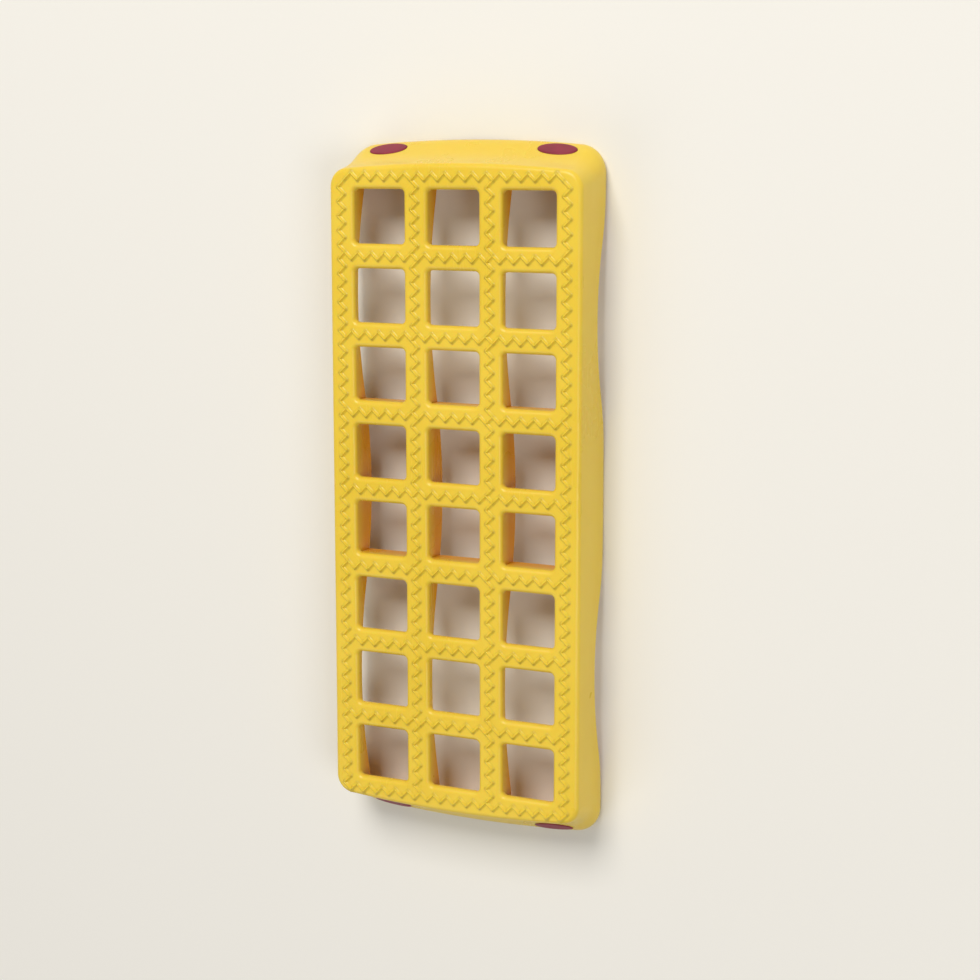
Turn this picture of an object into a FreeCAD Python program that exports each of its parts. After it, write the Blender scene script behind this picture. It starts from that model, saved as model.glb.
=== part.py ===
"""Ravioli mould: a yellow tray of open square cells with zigzag cutting ridges.

The tray lies flat on its feet. X runs across it, Y along it and Z up. The origin is on the
table, in the middle of the underside. All sizes are millimetres.
"""
import FreeCAD, Part
import math
import os

import Sketcher

Vector = FreeCAD.Vector
Placement = FreeCAD.Placement
Rotation = FreeCAD.Rotation

doc = FreeCAD.newDocument("RavioliMould")
sheet = doc.addObject("Spreadsheet::Sheet", "Sizes")


def set_sizes():
    """The driving dimensions, each in a cell of its own."""
    sizes = {
        # The cells and the webs between them.
        "columns": 3,
        "rows": 8,
        "cell_across": 24.2,
        "cell_along": 23.2,
        "web_across": 11.1,
        "web_along": 10.7,
        "cell_corner": 2.0,
        "lip_round": 2.2,
        # The outer form, from the outermost ridge line to the edges of the top.
        "side_margin": 6.3,
        "end_margin": 5.7,
        "height": 26.0,
        "side_flare": 0.8,
        "end_flare": 10.5,
        "end_slant": 0.35,
        "end_curl": 1.6,
        "end_bow": 3.0,
        "corner_top": 8.0,
        "corner_foot": 12.0,
        "edge_round": 2.4,
        "sole_tuck": 0.8,
        # The moulding's thicknesses.
        "plate": 3.0,
        "wall": 2.2,
        "end_wall": 2.8,
        "rib_wall": 2.0,
        # The arches under the skirts and the ends.
        "arch_start": 6.0,
        "arch_half": 70.0,
        "arch_rise": 9.4,
        "end_arch_half": 26.0,
        "end_arch_rise": 1.2,
        # The wavy lower edge of the ribs, measured down from the top.
        "rib_belly": 14.5,
        "rib_arch": 3.9,
        "rib_half_wave": 84.0,
        # The zigzag cutting ridges: the strokes along one side of a cell, and their section.
        "strokes": 11,
        "ridge_height": 1.1,
        "ridge_foot": 1.9,
        "ridge_crest": 0.5,
        "ridge_root": 0.4,
        # The oval inserts in the two ends.
        "insert_offset": 40.0,
        "insert_height": 7.0,
        "insert_long": 18.0,
        "insert_short": 8.0,
        "insert_depth": 1.6,
        "insert_proud": 0.4,
        "insert_gap": 0.15,
        "boss_rim": 1.6,
        "boss_back": 1.6,
        # How far the cuts run past what they cut.
        "overrun": 6.0,
    }
    for row, (alias, value) in enumerate(sizes.items(), start=1):
        sheet.set(f"A{row}", alias)
        sheet.set(f"B{row}", str(value))
        sheet.setAlias(f"B{row}", alias)
    doc.recompute()


def size(alias):
    return float(getattr(sheet, alias))


set_sizes()

COLUMNS = int(size("columns"))
ROWS = int(size("rows"))
PITCH_X = size("cell_across") + size("web_across")
PITCH_Y = size("cell_along") + size("web_along")
HALF_GRID_X = COLUMNS * PITCH_X / 2
HALF_GRID_Y = ROWS * PITCH_Y / 2
HALF_WIDTH = HALF_GRID_X + size("side_margin")
HALF_LENGTH = HALF_GRID_Y + size("end_margin")
BOW = (HALF_WIDTH ** 2 + size("end_bow") ** 2) / (2 * size("end_bow"))
TOP = size("height")
NEAR = 1e-3
ENDS = {"near": -1, "far": 1}
SIDES = {"left": -1, "right": 1}

# The shares of the height at which the lofts' outlines lie, from the top down.
FORM_LEVELS = (1.0, 0.8, 0.55, 0.32, 0.12, 0.0)
HOLLOW_LEVELS = (0.7, 0.5, 0.32, 0.12)
# Half waves in the ribs' lower edge, enough to run past both ends.
RIB_HALVES = 4

# The same lengths as terms of the sheet, for the sketches' dimensions.
PITCH_X_TERM = "(Sizes.cell_across + Sizes.web_across)"
PITCH_Y_TERM = "(Sizes.cell_along + Sizes.web_along)"
HALF_WIDTH_TERM = f"(Sizes.columns * {PITCH_X_TERM} / 2 + Sizes.side_margin)"
HALF_LENGTH_TERM = f"(Sizes.rows * {PITCH_Y_TERM} / 2 + Sizes.end_margin)"
BOW_TERM = f"(({HALF_WIDTH_TERM} ^ 2 + Sizes.end_bow ^ 2) / (2 * Sizes.end_bow))"


def new_body(name):
    body = doc.addObject("PartDesign::Body", name)
    body.Label = name
    return body


def new_sketch(body, name, role, shift=(0, 0, 0), shift_terms=None):
    """A sketch on one of the body's own origin planes, shifted in that plane's axes."""
    origin_plane = next(item for item in body.Origin.OriginFeatures if item.Role == role)
    sketch = body.newObject("Sketcher::SketchObject", name)
    sketch.AttachmentSupport = (origin_plane, [""])
    sketch.MapMode = "FlatFace"
    sketch.AttachmentOffset = Placement(Vector(*shift), Rotation())
    for axis, term in (shift_terms or {}).items():
        sketch.setExpression(f"AttachmentOffset.Base.{axis}", term)
    return sketch


def constrain(sketch, kind, *where):
    return sketch.addConstraint(Sketcher.Constraint(kind, *where))


def dimension(sketch, name, term, kind, *where):
    """A driving dimension, bound to a term of the sheet."""
    sketch.renameConstraint(constrain(sketch, kind, *where), name)
    sketch.setExpression(f"Constraints.{name}", term)


def chain(sketch, kind, edges):
    """Joins the end of each edge to the start of the next one, round a closed outline."""
    for edge, following in zip(edges, edges[1:] + edges[:1]):
        constrain(sketch, kind, edge, 2, following, 1)


def add_line(sketch, start, end):
    return sketch.addGeometry(Part.LineSegment(Vector(*start, 0), Vector(*end, 0)))


def add_arc(sketch, centre, radius, start, end):
    circle = Part.Circle(Vector(*centre, 0), Vector(0, 0, 1), radius)
    return sketch.addGeometry(Part.ArcOfCircle(circle, start, end))


def pull(body, kind, name, sketch, length_term=None, midplane=False):
    """A pad or a pocket of a sketch: of a set length, or through everything both ways."""
    feature = body.newObject(f"PartDesign::{kind}", name)
    feature.Profile = sketch
    feature.Midplane = midplane
    if length_term:
        feature.setExpression("Length", length_term)
    else:
        feature.Type = "ThroughAll"
    doc.recompute()
    return feature


def end_sweep(level):
    """The share of the end's flare at a share of the height: 0 at the top, 1 at the foot.

    The end falls steeply from the top and then sweeps out into its lip, like an ogee: part of
    the flare is a plain slant, and the rest is a smooth step.
    """
    depth = 1 - level
    sweep = depth ** size("end_curl")
    slant = size("end_slant")
    return slant * depth + (1 - slant) * sweep * sweep * (3 - 2 * sweep)


def plan_outline(sketch, level, hollow, tucked):
    """The tray's outline at a share of its height: straight sides, bowed ends, round corners."""
    swept, flared = end_sweep(level), 1 - level
    loss_x, loss_y, loss_corner = 0.0, 0.0, 0.0
    loss_x_term, loss_y_term, loss_corner_term = "", "", ""
    if hollow:
        loss_x, loss_y, loss_corner = size("wall"), size("end_wall"), size("wall")
        loss_x_term, loss_y_term, loss_corner_term = "- Sizes.wall", "- Sizes.end_wall", "- Sizes.wall"
    elif tucked:
        loss_x, loss_y = size("sole_tuck"), size("sole_tuck")
        loss_x_term, loss_y_term = "- Sizes.sole_tuck", "- Sizes.sole_tuck"
    half_x = HALF_WIDTH + size("side_flare") * flared - loss_x
    half_y = HALF_LENGTH + size("end_flare") * swept - loss_y
    corner = size("corner_top") + (size("corner_foot") - size("corner_top")) * swept - loss_corner
    bow_y = half_y - BOW
    corner_x = half_x - corner
    corner_y = bow_y + math.sqrt((BOW - corner) ** 2 - corner_x ** 2)
    lean = math.atan2(corner_y - bow_y, corner_x)
    half_turn, turn = math.pi, 2 * math.pi
    edges = [
        add_line(sketch, (half_x, -corner_y), (half_x, corner_y)),
        add_arc(sketch, (corner_x, corner_y), corner, 0, lean),
        add_arc(sketch, (0, bow_y), BOW, lean, half_turn - lean),
        add_arc(sketch, (-corner_x, corner_y), corner, half_turn - lean, half_turn),
        add_line(sketch, (-half_x, corner_y), (-half_x, -corner_y)),
        add_arc(sketch, (-corner_x, -corner_y), corner, half_turn, half_turn + lean),
        add_arc(sketch, (0, -bow_y), BOW, half_turn + lean, turn - lean),
        add_arc(sketch, (corner_x, -corner_y), corner, turn - lean, turn),
    ]
    chain(sketch, "Tangent", edges)
    right, corner_arc, far, left, near = edges[0], edges[1], edges[2], edges[4], edges[6]
    constrain(sketch, "Vertical", right)
    constrain(sketch, "Symmetric", right, 1, left, 1, -1, 1)
    constrain(sketch, "PointOnObject", far, 3, -2)
    constrain(sketch, "Equal", far, near)
    for other in (edges[3], edges[5], edges[7]):
        constrain(sketch, "Equal", corner_arc, other)
    width_term = f"2 * ({HALF_WIDTH_TERM} + Sizes.side_flare * {flared:.5f} {loss_x_term})"
    growth_term = f"(Sizes.corner_foot - Sizes.corner_top) * {swept:.5f}"
    half_y_term = f"({HALF_LENGTH_TERM} + Sizes.end_flare * {swept:.5f} {loss_y_term})"
    dimension(sketch, "Width", width_term, "DistanceX", left, 1, right, 1, 2 * half_x)
    dimension(
        sketch, "Corner", f"Sizes.corner_top + {growth_term} {loss_corner_term}",
        "Radius", corner_arc, corner,
    )
    dimension(sketch, "Bow", BOW_TERM, "Radius", far, BOW)
    dimension(sketch, "BowCentre", f"{BOW_TERM} - {half_y_term}", "DistanceY", far, 3, -1, 1, -bow_y)


def loft(body, name, stations, hollow):
    """A smooth solid through the tray's outlines at several shares of its height."""
    sketches = []
    for count, (level, height_term) in enumerate(stations):
        shift = (0, 0, TOP * level)
        sketch = new_sketch(body, f"{name}Plan{count}", "XY_Plane", shift, {"z": height_term})
        plan_outline(sketch, level, hollow, tucked=level == 0 and not hollow)
        sketches.append(sketch)
    form = body.newObject("PartDesign::AdditiveLoft", name)
    form.Profile = sketches[0]
    form.Sections = sketches[1:]
    doc.recompute()
    return form


def station(level):
    return level, f"Sizes.height * {level}"


def edge_names(feature, chosen):
    return [
        f"Edge{index}"
        for index, edge in enumerate(feature.Shape.Edges, start=1)
        if chosen(edge.BoundBox)
    ]


def fillet(body, name, base, names, radius_alias):
    feature = body.newObject("PartDesign::Fillet", name)
    feature.Base = (base, names)
    feature.Radius = size(radius_alias)
    feature.setExpression("Radius", f"Sizes.{radius_alias}")
    doc.recompute()
    return feature


def make_outer_form():
    """The tray as a solid block, with its top edge rounded."""
    body = new_body("outer_form")
    stations = [station(level) for level in FORM_LEVELS]
    form = loft(body, "Form", stations, hollow=False)
    fillet(body, "TopEdge", form, edge_names(form, lambda box: box.ZMin > TOP - NEAR), "edge_round")
    return body


def make_hollow():
    """What is open under the plate, inside the skirts and the ends."""
    body = new_body("hollow")
    ceiling = (1 - size("plate") / TOP, "Sizes.height - Sizes.plate")
    stations = [station(level) for level in HOLLOW_LEVELS]
    below = (-size("overrun") / TOP, "-Sizes.overrun")
    loft(body, "Core", [ceiling, *stations, below], hollow=True)
    return body


def wave(sketch, start, half_wave, halves, low, rise, floor, terms):
    """A region from a floor up to a wave of tangent arcs that starts and ends at a low point."""
    radius = (half_wave ** 2 + rise ** 2) / (4 * rise)
    swing = math.asin(half_wave / (2 * radius))
    down, up = -math.pi / 2, math.pi / 2
    arcs = []
    for turn in range(halves + 1):
        x = start + turn * half_wave
        if turn % 2:
            arcs.append(add_arc(sketch, (x, low + rise - radius), radius, up - swing, up + swing))
            continue
        first = down if turn == 0 else down - swing
        last = down if turn == halves else down + swing
        arcs.append(add_arc(sketch, (x, low + radius), radius, first, last))
    stop = start + halves * half_wave
    right = add_line(sketch, (stop, low), (stop, floor))
    bottom = add_line(sketch, (stop, floor), (start, floor))
    left = add_line(sketch, (start, floor), (start, low))
    for turn in range(halves):
        # An arc over a crest runs from its right end to its left one.
        end = 1 if turn % 2 else 2
        constrain(sketch, "Tangent", arcs[turn], end, arcs[turn + 1], end)
        constrain(sketch, "Equal", arcs[0], arcs[turn + 1])
    for first, first_end, second, second_end in (
        (arcs[-1], 2, right, 1), (right, 2, bottom, 1), (bottom, 2, left, 1), (left, 2, arcs[0], 1),
    ):
        constrain(sketch, "Coincident", first, first_end, second, second_end)
    constrain(sketch, "Vertical", right)
    constrain(sketch, "Vertical", left)
    constrain(sketch, "Horizontal", bottom)
    constrain(sketch, "Vertical", arcs[0], 1, arcs[0], 3)
    constrain(sketch, "Vertical", arcs[-1], 2, arcs[-1], 3)
    radius_term = f"({terms['half_wave']} ^ 2 + {terms['rise']} ^ 2) / (4 * {terms['rise']})"
    dimension(sketch, "Radius", radius_term, "Radius", arcs[0], radius)
    dimension(sketch, "Start", terms["start"], "DistanceX", -1, 1, left, 2, start)
    dimension(sketch, "Floor", terms["floor"], "DistanceY", bottom, 1, -1, 1, -floor)
    dimension(sketch, "Low", terms["low"], "DistanceY", -1, 1, left, 2, low)
    for turn in range(2, halves + 1, 2):
        run_term = f"{turn} * {terms['half_wave']}"
        run = turn * half_wave
        constrain(sketch, "Horizontal", arcs[0], 3, arcs[turn], 3)
        dimension(sketch, f"Low{turn}", run_term, "DistanceX", arcs[0], 3, arcs[turn], 3, run)


def rectangle(sketch, name, corner, spans, corner_terms, span_terms):
    """A rectangle, given by its low corner and its spans along the two axes."""
    (x, y), (span_x, span_y) = corner, spans
    edges = [
        add_line(sketch, (x, y), (x + span_x, y)),
        add_line(sketch, (x + span_x, y), (x + span_x, y + span_y)),
        add_line(sketch, (x + span_x, y + span_y), (x, y + span_y)),
        add_line(sketch, (x, y + span_y), (x, y)),
    ]
    chain(sketch, "Coincident", edges)
    for kind, edge in zip(("Horizontal", "Vertical", "Horizontal", "Vertical"), edges):
        constrain(sketch, kind, edge)
    dimension(sketch, f"{name}X", corner_terms[0], "DistanceX", -1, 1, edges[0], 1, x)
    dimension(sketch, f"{name}Y", corner_terms[1], "DistanceY", -1, 1, edges[0], 1, y)
    dimension(sketch, f"{name}SpanX", span_terms[0], "DistanceX", edges[0], 1, edges[0], 2, span_x)
    dimension(sketch, f"{name}SpanY", span_terms[1], "DistanceY", edges[1], 1, edges[1], 2, span_y)


def make_rib_frame():
    """The ribs under the plate, long and wide enough for the hollow to trim them.

    A rib runs along each side of every column of cells, flush with the cells' walls, and a
    pair crosses the tray one cell away from its middle, towards each end.
    """
    body = new_body("rib_frame")
    rib = size("rib_wall")
    reach_x, reach_x_term = HALF_WIDTH + size("side_flare"), f"({HALF_WIDTH_TERM} + Sizes.side_flare)"
    reach_y, reach_y_term = HALF_LENGTH + size("end_flare"), f"({HALF_LENGTH_TERM} + Sizes.end_flare)"
    along = new_sketch(body, "LongRibs", "XY_Plane")
    across = new_sketch(body, "CrossRibs", "XY_Plane")
    for column in range(COLUMNS):
        for side_name, side in SIDES.items():
            middle = (column - (COLUMNS - 1) / 2) * PITCH_X + side * (size("cell_across") + rib) / 2
            middle_term = (
                f"({column} - (Sizes.columns - 1) / 2) * {PITCH_X_TERM}"
                f" + {side} * (Sizes.cell_across + Sizes.rib_wall) / 2"
            )
            rectangle(
                along, f"{side_name.title()}{column}",
                (middle - rib / 2, -reach_y), (rib, 2 * reach_y),
                (f"{middle_term} - Sizes.rib_wall / 2", f"-{reach_y_term}"),
                ("Sizes.rib_wall", f"2 * {reach_y_term}"),
            )
    for end_name, end in ENDS.items():
        for side_name, side in SIDES.items():
            middle = end * PITCH_Y + side * (size("web_along") - rib) / 2
            middle_term = f"{end} * {PITCH_Y_TERM} + {side} * (Sizes.web_along - Sizes.rib_wall) / 2"
            rectangle(
                across, f"{end_name.title()}{side_name.title()}",
                (-reach_x, middle - rib / 2), (2 * reach_x, rib),
                (f"-{reach_x_term}", f"{middle_term} - Sizes.rib_wall / 2"),
                (f"2 * {reach_x_term}", "Sizes.rib_wall"),
            )
    up_to_plate = "Sizes.height - Sizes.plate / 2"
    pull(body, "Pad", "LongRibPad", along, up_to_plate)
    pull(body, "Pad", "CrossRibPad", across, up_to_plate)
    edge = new_sketch(body, "RibEdge", "YZ_Plane")
    half_wave, belly, arch = size("rib_half_wave"), size("rib_belly"), size("rib_arch")
    wave(
        edge, -RIB_HALVES / 2 * half_wave, half_wave, RIB_HALVES,
        TOP - belly, belly - arch, -size("overrun"),
        {
            "start": f"-{RIB_HALVES} / 2 * Sizes.rib_half_wave",
            "half_wave": "Sizes.rib_half_wave",
            "low": "Sizes.height - Sizes.rib_belly",
            "rise": "(Sizes.rib_belly - Sizes.rib_arch)",
            "floor": "Sizes.overrun",
        },
    )
    pull(body, "Pocket", "RibWave", edge, midplane=True)
    return body


def insert_seat(end, side):
    """Where an insert sits: a point on the end's slope, turned so that Z points straight out of it."""
    level = size("insert_height") / TOP
    x = side * size("insert_offset")
    drop = BOW - math.sqrt(BOW ** 2 - x ** 2)
    y = end * (HALF_LENGTH + size("end_flare") * end_sweep(level) - drop)
    swept = end_sweep(level - NEAR) - end_sweep(level + NEAR)
    slope = size("end_flare") * swept / (2 * NEAR * TOP)
    bearing = math.asin(x / BOW)
    outward = Vector(math.sin(bearing), end * math.cos(bearing), slope).normalize()
    level_way = Vector(0, 0, 1).cross(outward).normalize()
    turn = Rotation(level_way, outward.cross(level_way), outward, "ZXY")
    return Placement(Vector(x, y, size("insert_height")), turn)


def oval(name, seat, grown, inward, outward):
    """An oval bar on a seat: grown sideways, and run inward and outward, by terms of the sheet."""
    outline = doc.addObject("Part::Ellipse", f"{name}Outline")
    outline.Placement = seat
    outline.setExpression("MajorRadius", f"Sizes.insert_long / 2 + {grown}")
    outline.setExpression("MinorRadius", f"Sizes.insert_short / 2 + {grown}")
    bar = doc.addObject("Part::Extrusion", name)
    bar.Base = outline
    bar.DirMode = "Custom"
    bar.Dir = seat.Rotation.multVec(Vector(0, 0, 1))
    bar.Solid = True
    bar.setExpression("LengthFwd", outward)
    bar.setExpression("LengthRev", inward)
    doc.recompute()
    return bar


def join(kind, name, base, tool):
    """A cut, a fuse or a common of two objects."""
    feature = doc.addObject(f"Part::{kind}", name)
    feature.Base = base
    feature.Tool = tool
    doc.recompute()
    return feature


def make_shell(seats):
    """The block less its hollow and the inserts' recesses.

    The ribs stay in the hollow, and so does a boss behind each recess.
    """
    core = join("Cut", "CoreBetweenRibs", make_hollow(), make_rib_frame())
    shell = make_outer_form()
    for name, seat in seats.items():
        back = "Sizes.insert_depth + Sizes.boss_back"
        boss = oval(f"{name}_boss", seat, "Sizes.boss_rim", back, "Sizes.overrun")
        core = join("Cut", f"{name}_core", core, boss)
        recess = oval(f"{name}_recess", seat, "Sizes.insert_gap", "Sizes.insert_depth", "Sizes.overrun")
        shell = join("Cut", f"{name}_cut", shell, recess)
    return join("Cut", "HollowTray", shell, core)


def make_tray(seats):
    """The tray with its arches and its cells, each with a rounded lip."""
    body = new_body("tray")
    body.BaseFeature = make_shell(seats)
    doc.recompute()
    make_arches(body)
    first_x, first_y = -(COLUMNS - 1) / 2 * PITCH_X, -(ROWS - 1) / 2 * PITCH_Y
    cell = new_sketch(
        body, "Cell", "XY_Plane", (first_x, first_y, TOP),
        {
            "x": f"-(Sizes.columns - 1) / 2 * {PITCH_X_TERM}",
            "y": f"-(Sizes.rows - 1) / 2 * {PITCH_Y_TERM}",
            "z": "Sizes.height",
        },
    )
    cell_outline(cell)
    pocket = pull(body, "Pocket", "CellPocket", cell, midplane=True)
    rows_and_columns = body.newObject("PartDesign::MultiTransform", "Cells")
    rows_and_columns.Originals = [pocket]
    rows_and_columns.Transformations = [
        pattern(body, "Columns", (cell, ["H_Axis"]), "Sizes.columns", PITCH_X_TERM),
        pattern(body, "Rows", (cell, ["V_Axis"]), "Sizes.rows", PITCH_Y_TERM),
    ]
    body.Tip = rows_and_columns
    doc.recompute()

    def on_a_lip(box):
        inside_x = -HALF_GRID_X < box.XMin and box.XMax < HALF_GRID_X
        inside_y = -HALF_GRID_Y < box.YMin and box.YMax < HALF_GRID_Y
        return inside_x and inside_y and box.ZMin > TOP - NEAR

    lips = edge_names(rows_and_columns, on_a_lip)
    fillet(body, "Lips", rows_and_columns, lips, "lip_round")
    return body


def pattern(body, name, direction, count_term, pitch_term):
    feature = body.newObject("PartDesign::LinearPattern", name)
    feature.Direction = direction
    feature.setExpression("Occurrences", count_term)
    feature.setExpression("Length", f"({count_term} - 1) * {pitch_term}")
    return feature


def cell_outline(sketch):
    """One cell: a rectangle with equal round corners, centred on the sketch's origin."""
    half_x, half_y, radius = size("cell_across") / 2, size("cell_along") / 2, size("cell_corner")
    x, y = half_x - radius, half_y - radius
    quarter = math.pi / 2
    edges = [
        add_line(sketch, (half_x, -y), (half_x, y)),
        add_arc(sketch, (x, y), radius, 0, quarter),
        add_line(sketch, (x, half_y), (-x, half_y)),
        add_arc(sketch, (-x, y), radius, quarter, 2 * quarter),
        add_line(sketch, (-half_x, y), (-half_x, -y)),
        add_arc(sketch, (-x, -y), radius, 2 * quarter, 3 * quarter),
        add_line(sketch, (-x, -half_y), (x, -half_y)),
        add_arc(sketch, (x, -y), radius, 3 * quarter, 4 * quarter),
    ]
    chain(sketch, "Tangent", edges)
    right, corner, far, left, near = edges[0], edges[1], edges[2], edges[4], edges[6]
    constrain(sketch, "Vertical", right)
    constrain(sketch, "Horizontal", far)
    for other in (edges[3], edges[5], edges[7]):
        constrain(sketch, "Equal", corner, other)
    constrain(sketch, "Symmetric", right, 1, left, 1, -1, 1)
    dimension(sketch, "Across", "Sizes.cell_across", "DistanceX", left, 1, right, 1, 2 * half_x)
    dimension(sketch, "Along", "Sizes.cell_along", "DistanceY", near, 1, far, 1, 2 * half_y)
    dimension(sketch, "Corner", "Sizes.cell_corner", "Radius", corner, radius)


def make_arches(body):
    """Two long arches across the tray under its skirts, and a shallow one under each end."""
    far_start, far_term = size("arch_start"), "Sizes.arch_start"
    near_start, near_term = -far_start - 2 * size("arch_half"), f"-{far_term} - 2 * Sizes.arch_half"
    for name, plane, kind, start, start_term in (
        ("FarArch", "YZ_Plane", "arch", far_start, far_term),
        ("NearArch", "YZ_Plane", "arch", near_start, near_term),
        ("EndArch", "XZ_Plane", "end_arch", -size("end_arch_half"), "-Sizes.end_arch_half"),
    ):
        sketch = new_sketch(body, name, plane)
        terms = {
            "start": start_term,
            "half_wave": f"Sizes.{kind}_half",
            "low": "0",
            "rise": f"Sizes.{kind}_rise",
            "floor": "Sizes.overrun",
        }
        wave(sketch, start, size(f"{kind}_half"), 2, 0.0, size(f"{kind}_rise"), -size("overrun"), terms)
        pull(body, "Pocket", f"{name}Pocket", sketch, midplane=True)


def line_points(line, nodes, strokes, across):
    """The corners of one zigzag ridge line, numbered from the grid's near left corner.

    Neighbouring lines share a stroke where they cross, because the corners of all lines lie on
    one lattice, half a stroke off the grid.
    """
    stroke_x, stroke_y = PITCH_X / strokes, PITCH_Y / strokes
    points = []
    for node in nodes:
        swing = 0.5 if (node + strokes * line + 1) % 2 == 0 else -0.5
        if across:
            x, y = (node + 0.5) * stroke_x, line * PITCH_Y + swing * stroke_y
        else:
            x, y = line * PITCH_X + swing * stroke_x, (node + 0.5) * stroke_y
        points.append(Vector(x - HALF_GRID_X, y - HALF_GRID_Y, 0))
    return points


def block_outline(column, row, columns, rows):
    """The ridge lines round a block of cells, as one closed loop that runs anticlockwise."""
    strokes = int(size("strokes"))
    across = range(strokes * column, strokes * (column + columns))
    along = range(strokes * row, strokes * (row + rows))
    loop = [
        *line_points(row, across, strokes, across=True),
        *line_points(column + columns, along, strokes, across=False),
        *line_points(row + rows, across[::-1], strokes, across=True),
        *line_points(column, along[::-1], strokes, across=False),
    ]
    befores = [loop[-1], *loop[:-1]]
    return [point for before, point in zip(befores, loop) if point.distanceToPoint(before) > NEAR]


def offset_loop(loop, distance, level):
    """The loop moved sideways by a distance, towards its inside where that is positive."""
    moved = []
    for index, point in enumerate(loop):
        before = (point - loop[index - 1]).normalize()
        after = (loop[(index + 1) % len(loop)] - point).normalize()
        left_before, left_after = Vector(-before.y, before.x, 0), Vector(-after.y, after.x, 0)
        reach = distance / (1 + left_before.dot(left_after))
        moved.append(point + (left_before + left_after) * reach + Vector(0, 0, level))
    return moved


def make_ridges():
    """The zigzag ridges round all cells as one solid, with sloping flanks and a narrow crest."""
    height, root = size("ridge_height"), size("ridge_root")
    foot, crest = size("ridge_foot") / 2, size("ridge_crest") / 2
    root_half = foot + (foot - crest) / height * root
    loops = [(block_outline(0, 0, COLUMNS, ROWS), -1)]
    loops += [(block_outline(column, row, 1, 1), 1) for column in range(COLUMNS) for row in range(ROWS)]
    lower = [offset_loop(loop, side * root_half, TOP - root) for loop, side in loops]
    upper = [offset_loop(loop, side * crest, TOP + height) for loop, side in loops]
    faces = []
    for bottom, top in zip(lower, upper):
        for index in range(len(bottom)):
            flank = [bottom[index - 1], bottom[index], top[index], top[index - 1], bottom[index - 1]]
            faces.append(Part.Face(Part.makePolygon(flank)))
    for layer in (lower, upper):
        wires = [Part.makePolygon([*loop, loop[0]]) for loop in layer]
        faces.append(Part.makeFace(wires, "Part::FaceMakerBullseye"))
    shell = Part.makeShell(faces)
    shell.sewShape()
    ridges = doc.addObject("Part::Feature", "cutting_ridges")
    ridges.Shape = Part.makeSolid(shell)
    ridges.Placement = Placement()
    return ridges


def make_mould():
    """The one-piece moulding, and the four oval inserts in their recesses."""
    seats = {
        f"foot_insert_{end_name}_{side_name}": insert_seat(end, side)
        for end_name, end in ENDS.items()
        for side_name, side in SIDES.items()
    }
    inserts = []
    for name, seat in seats.items():
        insert = oval(name, seat, "0", "Sizes.insert_depth", "Sizes.insert_proud")
        insert.Label = name
        inserts.append(insert)
    moulding = join("Fuse", "mould_body", make_tray(seats), make_ridges())
    moulding.Label = "mould_body"
    return [moulding, *inserts]


def check(pieces):
    failed = [thing.Name for thing in doc.Objects if {"Invalid", "Error"} & set(thing.State)]
    for piece in pieces:
        shape = piece.Shape
        if shape.isNull() or not shape.isValid() or len(shape.Solids) != 1 or shape.Volume <= 0:
            failed.append(piece.Label)
    if failed:
        raise RuntimeError(f"These objects failed: {', '.join(failed)}")


pieces = make_mould()
doc.recompute()
check(pieces)
os.makedirs("parts", exist_ok=True)
for piece in pieces:
    piece.Shape.exportStep(f"parts/{piece.Label}.step")
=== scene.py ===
import math

import bmesh
import bpy
from mathutils import Matrix, Vector


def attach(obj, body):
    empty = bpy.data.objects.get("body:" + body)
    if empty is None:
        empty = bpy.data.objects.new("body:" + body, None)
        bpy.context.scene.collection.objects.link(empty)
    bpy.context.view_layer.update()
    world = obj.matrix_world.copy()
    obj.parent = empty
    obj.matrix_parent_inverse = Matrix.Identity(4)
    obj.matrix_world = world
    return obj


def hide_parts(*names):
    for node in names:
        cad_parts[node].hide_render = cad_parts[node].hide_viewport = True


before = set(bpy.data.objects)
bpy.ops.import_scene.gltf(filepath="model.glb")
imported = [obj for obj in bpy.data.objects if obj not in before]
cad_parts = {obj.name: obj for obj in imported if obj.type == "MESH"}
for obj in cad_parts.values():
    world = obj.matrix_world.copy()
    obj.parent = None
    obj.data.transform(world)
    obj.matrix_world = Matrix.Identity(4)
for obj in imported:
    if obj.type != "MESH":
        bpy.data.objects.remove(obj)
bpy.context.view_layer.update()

scene = bpy.context.scene
scene.view_settings.view_transform = "Standard"


# The tray: one piece of yellow polypropylene, moulded in a steel tool with a satin finish.
# Every edge that a hand or the pasta meets has a small radius. The tray has the frame's shape,
# with its top laid plain, because the cutting ridges are set on it as a piece of their own.

def linear(hex_colour):
    """The linear colour, with its alpha, of an sRGB hex colour."""
    shares = [int(hex_colour[place:place + 2], 16) / 255 for place in (1, 3, 5)]
    return (
        *(share / 12.92 if share <= 0.04045 else ((share + 0.055) / 1.055) ** 2.4 for share in shares),
        1,
    )


def add_node(tree, kind, inputs=None, **settings):
    """Adds a node, sets it up, and feeds it values, sockets or the first socket of other nodes."""
    node = tree.nodes.new(kind)
    for name, value in settings.items():
        setattr(node, name, value)
    for key, value in (inputs or {}).items():
        if isinstance(value, bpy.types.Node):
            value = value.outputs[0]
        if isinstance(value, bpy.types.NodeSocket):
            tree.links.new(value, node.inputs[key])
        else:
            node.inputs[key].default_value = value
    return node


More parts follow.
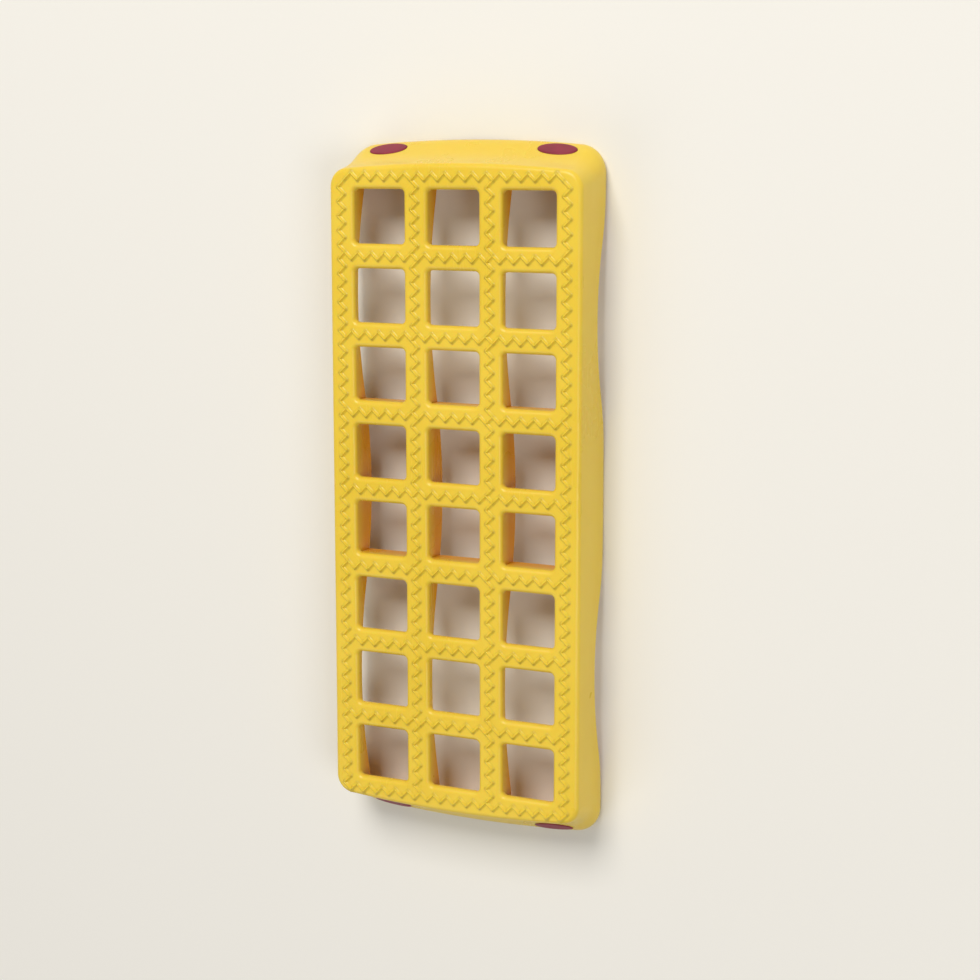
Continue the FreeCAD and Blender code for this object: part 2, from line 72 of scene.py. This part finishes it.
def moulded_polypropylene():
    """Satin polypropylene: a warm, slightly cloudy yellow that lets a little light through.

    Melt flow leaves faint broad waves in the surface, the tool's fine spark texture takes the
    edge off the gloss, and handling adds a few soft rub marks.
    """
    material = bpy.data.materials.new("moulded_polypropylene")
    material.use_nodes = True
    tree = material.node_tree
    shader = tree.nodes["Principled BSDF"]
    where = add_node(tree, "ShaderNodeTexCoord").outputs["Object"]
    cloud = add_node(tree, "ShaderNodeTexNoise", {
        "Vector": where, "Scale": 1 / 0.045, "Detail": 3.0, "Roughness": 0.55,
    })
    tint = add_node(tree, "ShaderNodeValToRGB", {"Fac": cloud})
    tint.color_ramp.elements[0].position = 0.35
    tint.color_ramp.elements[0].color = linear("#EAC83D")
    tint.color_ramp.elements[1].position = 0.65
    tint.color_ramp.elements[1].color = linear("#EFCE46")
    # Painted shade: among the ribs and cells, and on walls that face the middle, the base colour is
    # painted a deeper orange for shade and for light through the plastic. Towards the top this fades
    # out.
    apart = add_node(tree, "ShaderNodeSeparateXYZ", {
        "Vector": add_node(tree, "ShaderNodeVectorMath", {0: where}, operation="ABSOLUTE"),
    })
    within = add_node(tree, "ShaderNodeMapRange", {
        "Value": apart.outputs["X"],
        "From Min": 0.048, "From Max": 0.056, "To Min": 1.0, "To Max": 0.0,
    })
    between = add_node(tree, "ShaderNodeMapRange", {
        "Value": apart.outputs["Y"],
        "From Min": 0.134, "From Max": 0.141, "To Min": 1.0, "To Max": 0.0,
    })
    below = add_node(tree, "ShaderNodeMapRange", {
        "Value": apart.outputs["Z"],
        "From Min": 0.018, "From Max": 0.025, "To Min": 1.0, "To Max": 0.0,
    })
    facing = add_node(tree, "ShaderNodeNewGeometry").outputs["Normal"]
    outward = add_node(tree, "ShaderNodeVectorMath", {0: where, 1: facing}, operation="DOT_PRODUCT")
    inward = add_node(tree, "ShaderNodeMapRange", {
        "Value": outward.outputs["Value"],
        "From Min": -0.04, "From Max": -0.01, "To Min": 1.0, "To Max": 0.0,
    })
    among_cells = add_node(tree, "ShaderNodeMath", {0: within, 1: between}, operation="MULTIPLY")
    inside = add_node(tree, "ShaderNodeMath", {0: among_cells, 1: inward}, operation="MAXIMUM")
    painted_shade_mask = add_node(tree, "ShaderNodeMath", {0: inside, 1: below}, operation="MULTIPLY")
    # The deeper orange mixed in here is painted shade and painted light, not the plastic's own colour.
    painted_recess_shade = add_node(tree, "ShaderNodeMix", {
        "Factor": painted_shade_mask, "A": tint, "B": linear("#E09C19"),
    }, data_type="RGBA")
    # Rub marks run along the tray, a millimetre or two wide and a few centimetres long.
    drawn_out = add_node(tree, "ShaderNodeMapping", {
        "Vector": where, "Scale": (1 / 0.0012, 1 / 0.03, 1 / 0.002),
    })
    rubs = add_node(tree, "ShaderNodeTexNoise", {"Vector": drawn_out, "Scale": 1.0, "Detail": 2.0})
    rub_marks = add_node(tree, "ShaderNodeMapRange", {
        "Value": rubs, "From Min": 0.6, "From Max": 0.75, "To Min": 0.0, "To Max": 0.06,
    })
    satin = add_node(tree, "ShaderNodeMapRange", {
        "Value": cloud, "From Min": 0.3, "From Max": 0.7, "To Min": 0.25, "To Max": 0.31,
    })
    rough = add_node(tree, "ShaderNodeMath", {0: satin, 1: rub_marks}, operation="ADD")
    # The spark texture is really about 0.05 mm across. It is drawn at 0.5 mm, so that it shows.
    spark = add_node(tree, "ShaderNodeTexNoise", {"Vector": where, "Scale": 1 / 0.0005, "Detail": 1.0})
    flow = add_node(tree, "ShaderNodeTexNoise", {"Vector": where, "Scale": 1 / 0.014, "Detail": 1.0})
    fine = add_node(tree, "ShaderNodeBump", {"Height": spark, "Strength": 0.35, "Distance": 0.00003})
    broad = add_node(tree, "ShaderNodeBump", {
        "Height": flow, "Normal": fine, "Strength": 0.5, "Distance": 0.00025,
    })
    tree.links.new(painted_recess_shade.outputs["Result"], shader.inputs["Base Color"])
    tree.links.new(rough.outputs["Value"], shader.inputs["Roughness"])
    tree.links.new(broad.outputs["Normal"], shader.inputs["Normal"])
    shader.inputs["IOR"].default_value = 1.49
    shader.inputs["Specular IOR Level"].default_value = 0.35
    shader.inputs["Subsurface Weight"].default_value = 0.22
    shader.inputs["Subsurface Radius"].default_value = (1.0, 0.5, 0.08)
    shader.inputs["Subsurface Scale"].default_value = 0.0018
    return material


polypropylene = moulded_polypropylene()
tray_top = 0.026
near_nothing = 1e-6
soft_angle = math.radians(32)


def close_gaps(shape):
    """Closes each gap in the top's rounded edge, from its one end on the flat top to the other.

    Near the corners the frame's ridges run a little over that edge. Without them it is open there.
    """
    low = [
        edge for edge in shape.edges
        if edge.is_boundary and min(end.co.z for end in edge.verts) < tray_top - near_nothing
    ]
    starts = [end for edge in low for end in edge.verts if end.co.z >= tray_top - near_nothing]
    for start in starts:
        chain = [start]
        while step := next((edge for edge in chain[-1].link_edges if edge in low), None):
            low.remove(step)
            chain.append(step.other_vert(chain[-1]))
            if chain[-1].co.z >= tray_top - near_nothing:
                break
        if len(chain) > 2:
            patch = shape.faces.new(chain)
            patch.normal_update()
            if patch.normal.z < 0:
                patch.normal_flip()


tray_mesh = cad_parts["mould_body"].data.copy()
tray_mesh.name = "mould_tray"
shape = bmesh.new()
shape.from_mesh(tray_mesh)
bmesh.ops.remove_doubles(shape, verts=shape.verts, dist=near_nothing)
rises = {face: [corner.co.z - tray_top for corner in face.verts] for face in shape.faces}
ridged = [face for face, rise in rises.items() if min(rise) > -near_nothing or max(rise) > near_nothing]
bmesh.ops.delete(shape, geom=ridged, context="FACES")
close_gaps(shape)
rims = [edge for edge in shape.edges if edge.is_boundary]
bmesh.ops.triangle_fill(shape, edges=rims, use_beauty=True, normal=(0, 0, 1))
loose = [corner for corner in shape.verts if not corner.link_faces]
bmesh.ops.delete(shape, geom=loose, context="VERTS")
for face in shape.faces:
    face.smooth = True
for edge in shape.edges:
    edge.smooth = len(edge.link_faces) == 2 and edge.calc_face_angle() < soft_angle
shape.to_mesh(tray_mesh)
shape.free()
tray_mesh.materials.clear()
tray_mesh.materials.append(polypropylene)
tray = bpy.data.objects.new("mould_tray", tray_mesh)
scene.collection.objects.link(tray)
even = tray.modifiers.new("Even shading", "WEIGHTED_NORMAL")
even.keep_sharp = True
even.weight = 100
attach(tray, "root")
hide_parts("mould_body")


# The cutting ridges: raised zigzag lines between and around the cells, moulded with the tray.
# They press the two pasta sheets together and cut them apart. Each stroke is a narrow mound with
# a soft foot and a fine crest, and all strokes lie on the diagonals of one lattice.

columns, rows, strokes = 3, 8, 11
pitch_across, pitch_along = 0.0353, 0.0339
stroke_across, stroke_along = pitch_across / strokes, pitch_along / strokes
stroke_half_width, stroke_height = 0.00115, 0.0011
stroke_corners = 8
smaller_end = 0.97


def zigzag_stroke():
    """One stroke, along X: rings that go from the middle of its root up to the crest.

    Each ring has its distance out, in half widths, and its height, in stroke heights. The first
    three lie below the tray's top, deep enough to meet its rounded edge too. The left end is a
    hair smaller, so that where two strokes meet one lies inside the other.
    """
    half_run = math.hypot(stroke_across, stroke_along) / 2
    section = (
        (0.0, -0.75), (1.4, -0.75), (1.35, -0.12), (1.0, 0.0),
        (0.72, 0.1), (0.48, 0.37), (0.26, 0.74), (0.1, 0.95), (0.0, 1.0),
    )
    form = bmesh.new()
    rings = []
    for out, up in section:
        ring = []
        for corner in range(stroke_corners):
            angle = math.tau * (corner + 0.5) / stroke_corners
            side, size = (1, 1.0) if math.cos(angle) > 0 else (-1, smaller_end)
            across = size * stroke_half_width * out
            ring.append(form.verts.new((
                side * half_run + across * math.cos(angle),
                across * math.sin(angle),
                size * stroke_height * up,
            )))
        rings.append(ring)
    for lower, upper in zip(rings, rings[1:]):
        for corner in range(stroke_corners):
            after = (corner + 1) % stroke_corners
            form.faces.new((lower[corner], lower[after], upper[after], upper[corner]))
    bmesh.ops.remove_doubles(form, verts=form.verts, dist=near_nothing)
    mesh = bpy.data.meshes.new("zigzag_stroke")
    form.to_mesh(mesh)
    form.free()
    stroke = bpy.data.objects.new("zigzag_stroke", mesh)
    scene.collection.objects.link(stroke)
    return stroke


def ridge_lines(material):
    """A tree that sets one stroke on each diagonal of the lattice that a ridge line takes."""
    tree = bpy.data.node_groups.new("ridge_lines", "GeometryNodeTree")
    for name, kind in (
        ("Stroke", "NodeSocketObject"), ("Last column", "NodeSocketInt"),
        ("Last row", "NodeSocketInt"), ("Strokes a side", "NodeSocketInt"),
        ("Stroke across", "NodeSocketFloat"), ("Stroke along", "NodeSocketFloat"),
        ("Level", "NodeSocketFloat"),
    ):
        tree.interface.new_socket(name, in_out="INPUT", socket_type=kind)
    tree.interface.new_socket("Geometry", in_out="OUTPUT", socket_type="NodeSocketGeometry")
    given = add_node(tree, "NodeGroupInput").outputs

    # The lattice's points are numbered column by column. A ridge line runs along every eleventh
    # column and row of them, so a cell has eleven strokes a side.
    width = add_node(tree, "ShaderNodeMath", {
        0: given["Last column"], 1: given["Stroke across"],
    }, operation="MULTIPLY")
    length = add_node(tree, "ShaderNodeMath", {
        0: given["Last row"], 1: given["Stroke along"],
    }, operation="MULTIPLY")
    points_across = add_node(tree, "ShaderNodeMath", {0: given["Last column"], 1: 1.0}, operation="ADD")
    points_along = add_node(tree, "ShaderNodeMath", {0: given["Last row"], 1: 1.0}, operation="ADD")
    lattice = add_node(tree, "GeometryNodeMeshGrid", {
        "Size X": width, "Size Y": length, "Vertices X": points_across, "Vertices Y": points_along,
    })
    index = add_node(tree, "GeometryNodeInputIndex")
    column = add_node(tree, "ShaderNodeMath", {0: index, 1: points_along}, operation="DIVIDE")
    column = add_node(tree, "ShaderNodeMath", {0: column}, operation="FLOOR")
    row = add_node(tree, "ShaderNodeMath", {0: index, 1: points_along}, operation="FLOORED_MODULO")
    off_column = add_node(tree, "ShaderNodeMath", {
        0: column, 1: given["Strokes a side"],
    }, operation="FLOORED_MODULO")
    off_row = add_node(tree, "ShaderNodeMath", {
        0: row, 1: given["Strokes a side"],
    }, operation="FLOORED_MODULO")
    off_line = add_node(tree, "ShaderNodeMath", {0: off_column, 1: off_row}, operation="MULTIPLY")
    on_line = add_node(tree, "ShaderNodeMath", {0: off_line, 1: 0.5}, operation="LESS_THAN")

    # At the two far corners the lines already meet, so no stroke is set there.
    from_side = add_node(tree, "ShaderNodeMath", {
        0: column, 1: given["Last column"],
    }, operation="FLOORED_MODULO")
    at_side = add_node(tree, "ShaderNodeMath", {0: from_side, 1: 0.5}, operation="LESS_THAN")
    from_end = add_node(tree, "ShaderNodeMath", {0: given["Last row"], 1: row}, operation="SUBTRACT")
    at_end = add_node(tree, "ShaderNodeMath", {0: from_end, 1: 0.5}, operation="LESS_THAN")
    at_corner = add_node(tree, "ShaderNodeMath", {0: at_side, 1: at_end}, operation="MULTIPLY")
    kept = add_node(tree, "ShaderNodeMath", {0: on_line, 1: at_corner}, operation="SUBTRACT")

    # Strokes lean one way on odd diagonals and the other way on even ones.
    steps = add_node(tree, "ShaderNodeMath", {0: column, 1: row}, operation="ADD")
    odd = add_node(tree, "ShaderNodeMath", {0: steps, 1: 2.0}, operation="FLOORED_MODULO")
    lean = add_node(tree, "ShaderNodeMath", {
        0: given["Stroke along"], 1: given["Stroke across"],
    }, operation="ARCTAN2")
    other_lean = add_node(tree, "ShaderNodeMath", {0: lean, 1: -1.0}, operation="MULTIPLY")
    turn = add_node(tree, "ShaderNodeMapRange", {"Value": odd, "To Min": other_lean, "To Max": lean})
    turned = add_node(tree, "ShaderNodeCombineXYZ", {"Z": turn})
    stroke = add_node(tree, "GeometryNodeObjectInfo", {"Object": given["Stroke"]})
    laid = add_node(tree, "GeometryNodeInstanceOnPoints", {
        "Points": lattice, "Selection": kept,
        "Instance": stroke.outputs["Geometry"], "Rotation": turned,
    })
    raised = add_node(tree, "ShaderNodeCombineXYZ", {"Z": given["Level"]})
    lifted = add_node(tree, "GeometryNodeTransform", {"Geometry": laid, "Translation": raised})
    smooth = add_node(tree, "GeometryNodeSetShadeSmooth", {"Geometry": lifted, "Shade Smooth": True})
    real = add_node(tree, "GeometryNodeRealizeInstances", {"Geometry": smooth})
    dressed = add_node(tree, "GeometryNodeSetMaterial", {"Geometry": real, "Material": material})
    add_node(tree, "NodeGroupOutput", {"Geometry": dressed})
    return tree


def grown(name, tree, sizes):
    """The plain mesh object that a tree makes from its named sizes."""
    seedling = bpy.data.objects.new(f"{name}_source", bpy.data.meshes.new(f"{name}_source"))
    scene.collection.objects.link(seedling)
    maker = seedling.modifiers.new("Maker", "NODES")
    maker.node_group = tree
    for item in tree.interface.items_tree:
        if item.in_out == "INPUT" and item.name in sizes:
            maker[item.identifier] = sizes[item.name]
    evaluated = seedling.evaluated_get(bpy.context.evaluated_depsgraph_get())
    mesh = bpy.data.meshes.new_from_object(evaluated)
    mesh.name = name
    seedling.modifiers.remove(maker)
    bpy.data.objects.remove(seedling)
    made = bpy.data.objects.new(name, mesh)
    scene.collection.objects.link(made)
    return made


stroke = zigzag_stroke()
ridges = grown(
    "cutting_ridges", ridge_lines(polypropylene),
    {
        "Stroke": stroke, "Last column": columns * strokes, "Last row": rows * strokes,
        "Strokes a side": strokes, "Stroke across": stroke_across, "Stroke along": stroke_along,
        "Level": tray_top,
    },
)
bpy.data.objects.remove(stroke)
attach(ridges, "root")
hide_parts("mould_body")


# The inserts: four oval pads of plum rubber, pushed into shallow recesses in the two end slopes.
# They give the hands and the worktop something that doesn't slip. Each has a softly crowned face.

oval_corners = 72
insert_proud = 0.0004


def moulded_rubber():
    """Plum thermoplastic rubber: matt and fine-grained, a little darker where it is handled less."""
    material = bpy.data.materials.new("moulded_rubber")
    material.use_nodes = True
    tree = material.node_tree
    shader = tree.nodes["Principled BSDF"]
    where = add_node(tree, "ShaderNodeTexCoord").outputs["Object"]
    cloud = add_node(tree, "ShaderNodeTexNoise", {"Vector": where, "Scale": 1 / 0.006, "Detail": 3.0})
    tint = add_node(tree, "ShaderNodeValToRGB", {"Fac": cloud})
    tint.color_ramp.elements[0].position = 0.35
    tint.color_ramp.elements[0].color = linear("#842238")
    tint.color_ramp.elements[1].position = 0.7
    tint.color_ramp.elements[1].color = linear("#952E45")
    rough = add_node(tree, "ShaderNodeMapRange", {
        "Value": cloud, "From Min": 0.3, "From Max": 0.7, "To Min": 0.42, "To Max": 0.55,
    })
    # The rubber's grain is finer than 0.1 mm. It is drawn at 0.4 mm, so that it shows.
    grain = add_node(tree, "ShaderNodeTexNoise", {"Vector": where, "Scale": 1 / 0.0004, "Detail": 1.0})
    pitted = add_node(tree, "ShaderNodeBump", {"Height": grain, "Strength": 0.5, "Distance": 0.00005})
    tree.links.new(tint.outputs["Color"], shader.inputs["Base Color"])
    tree.links.new(rough.outputs["Result"], shader.inputs["Roughness"])
    tree.links.new(pitted.outputs["Normal"], shader.inputs["Normal"])
    shader.inputs["IOR"].default_value = 1.5
    shader.inputs["Specular IOR Level"].default_value = 0.35
    return material


def crowned_oval(material):
    """A tree that makes one oval pad: the hull of ovals that shrink over a crowned face."""
    tree = bpy.data.node_groups.new("crowned_oval", "GeometryNodeTree")
    for name, kind in (
        ("Half length", "NodeSocketFloat"), ("Half width", "NodeSocketFloat"),
        ("Depth", "NodeSocketFloat"), ("Crown", "NodeSocketFloat"), ("Edge", "NodeSocketFloat"),
        ("Place", "NodeSocketVector"), ("Turn", "NodeSocketRotation"),
    ):
        tree.interface.new_socket(name, in_out="INPUT", socket_type=kind)
    tree.interface.new_socket("Geometry", in_out="OUTPUT", socket_type="NodeSocketGeometry")
    given = add_node(tree, "NodeGroupInput").outputs
    # Each oval is drawn in by a number of edge widths, and has its share of the crown's height.
    # The first is the back, which lies on the floor of the recess.
    back = add_node(tree, "ShaderNodeMath", {0: given["Depth"], 1: -1.0}, operation="MULTIPLY")
    ovals = add_node(tree, "GeometryNodeJoinGeometry")
    section = ((0.0, back), (0.0, 0.3), (0.12, 0.55), (0.45, 0.8), (1.2, 0.95), (2.6, 1.0))
    for drawn_in, rise in section:
        inset = add_node(tree, "ShaderNodeMath", {
            0: given["Edge"], 1: drawn_in,
        }, operation="MULTIPLY")
        half_length = add_node(tree, "ShaderNodeMath", {
            0: given["Half length"], 1: inset,
        }, operation="SUBTRACT")
        half_width = add_node(tree, "ShaderNodeMath", {
            0: given["Half width"], 1: inset,
        }, operation="SUBTRACT")
        spans = add_node(tree, "ShaderNodeCombineXYZ", {"X": half_length, "Y": half_width, "Z": 1.0})
        if rise is not back:
            rise = add_node(tree, "ShaderNodeMath", {
                0: given["Crown"], 1: rise,
            }, operation="MULTIPLY")
        lift = add_node(tree, "ShaderNodeCombineXYZ", {"Z": rise})
        circle = add_node(tree, "GeometryNodeMeshCircle", {"Vertices": oval_corners, "Radius": 1.0})
        oval = add_node(tree, "GeometryNodeTransform", {
            "Geometry": circle, "Translation": lift, "Scale": spans,
        })
        tree.links.new(oval.outputs["Geometry"], ovals.inputs["Geometry"])
    pad = add_node(tree, "GeometryNodeConvexHull", {"Geometry": ovals})
    seated = add_node(tree, "GeometryNodeTransform", {
        "Geometry": pad, "Translation": given["Place"], "Rotation": given["Turn"],
    })
    real = add_node(tree, "GeometryNodeRealizeInstances", {"Geometry": seated})
    smooth = add_node(tree, "GeometryNodeSetShadeSmooth", {"Geometry": real, "Shade Smooth": True})
    dressed = add_node(tree, "GeometryNodeSetMaterial", {"Geometry": smooth, "Material": material})
    add_node(tree, "NodeGroupOutput", {"Geometry": dressed})
    return tree


def seat_of(node):
    """The middle of a seat, on the slope, and how an insert is turned to lie in it."""
    mesh = node.data
    faces_out, same_plane = 0.3, 0.999
    outward = 1 if sum(corner.co.y for corner in mesh.vertices) > 0 else -1
    faces = [face for face in mesh.polygons if face.area > 0 and face.normal.y * outward > faces_out]
    largest = max(faces, key=lambda face: face.area)
    front = [face for face in faces if face.normal.dot(largest.normal) > same_plane]
    area = sum(face.area for face in front)
    middle = sum((face.center * face.area for face in front), Vector()) / area
    straight_out = largest.normal.normalized()
    level = Vector((0, 0, 1)).cross(straight_out).normalized()
    turn = Matrix((level, straight_out.cross(level), straight_out)).transposed()
    return middle - straight_out * insert_proud, turn.to_euler()


pad_tree = crowned_oval(moulded_rubber())
for name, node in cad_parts.items():
    if name == "mould_body":
        continue
    place, turn = seat_of(node)
    pad = grown(
        f"{name}_pad", pad_tree,
        {
            "Half length": 0.009, "Half width": 0.004, "Depth": 0.0016, "Crown": insert_proud,
            "Edge": 0.0006, "Place": place, "Turn": turn,
        },
    )
    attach(pad, "root")
    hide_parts(name)


# The table: a plain pale worktop, matt, which isn't part of the object.

floor_mesh = bpy.data.meshes.new("pale_table")
reach = 3.0
floor_mesh.from_pydata(
    [(-reach, -reach, 0), (reach, -reach, 0), (reach, reach, 0), (-reach, reach, 0)],
    [], [(0, 1, 2, 3)],
)
floor = bpy.data.objects.new("pale_table", floor_mesh)
scene.collection.objects.link(floor)
pale = bpy.data.materials.new("matt_laminate")
pale.use_nodes = True
pale_shader = pale.node_tree.nodes["Principled BSDF"]
pale_shader.inputs["Base Color"].default_value = linear("#EFEDE8")
pale_shader.inputs["Roughness"].default_value = 0.7
floor_mesh.materials.append(pale)


# The light: one wide soft panel beyond the far end and a weak one on each side, of which the
# right one draws the long edge and the left one opens the shade, and the room's even light.

def panel(name, place, across, watts, tint):
    """A square panel that faces the middle of the frame."""
    light = bpy.data.lights.new(name, "AREA")
    light.shape = "SQUARE"
    light.size = across
    light.energy = watts
    light.color = linear(tint)[:3]
    holder = bpy.data.objects.new(name, light)
    scene.collection.objects.link(holder)
    holder.location = place
    holder.rotation_euler = (-Vector(place)).to_track_quat("-Z", "Y").to_euler()


panel("far_panel", (-0.19, 1.57, 1.79), 1.12, 40.5, "#FFFBF3")
panel("right_panel", (1.31, -0.32, 1.36), 0.8, 8, "#FFFEFA")
panel("left_panel", (-1.28, -1.44, 1.44), 1.28, 8.2, "#FFFBF3")
room = bpy.data.worlds.new("studio")
scene.world = room
room.use_nodes = True
even_light = room.node_tree.nodes["Background"]
even_light.inputs["Color"].default_value = linear("#FFFFFF")
even_light.inputs["Strength"].default_value = 0.28


# The camera: above the cells and turned to the right flank, as in the photograph. Its focal
# length was measured there, in pixels.

camera_data = bpy.data.cameras.new("camera")
camera = bpy.data.objects.new("camera", camera_data)
scene.collection.objects.link(camera)
scene.camera = camera
place = Matrix.Translation((0.3936, 0.1475, 0.8102))
to_the_flank = Matrix.Rotation(math.radians(25.6), 4, "Y")
down_the_tray = Matrix.Rotation(math.radians(-9.36), 4, "X")
camera.matrix_world = place @ to_the_flank @ down_the_tray
focal_length, frame_width = 2074.4, 980
camera_data.sensor_width = 36.0
camera_data.lens = camera_data.sensor_width * focal_length / frame_width
camera_data.clip_start = 0.01
camera_data.clip_end = 10.0
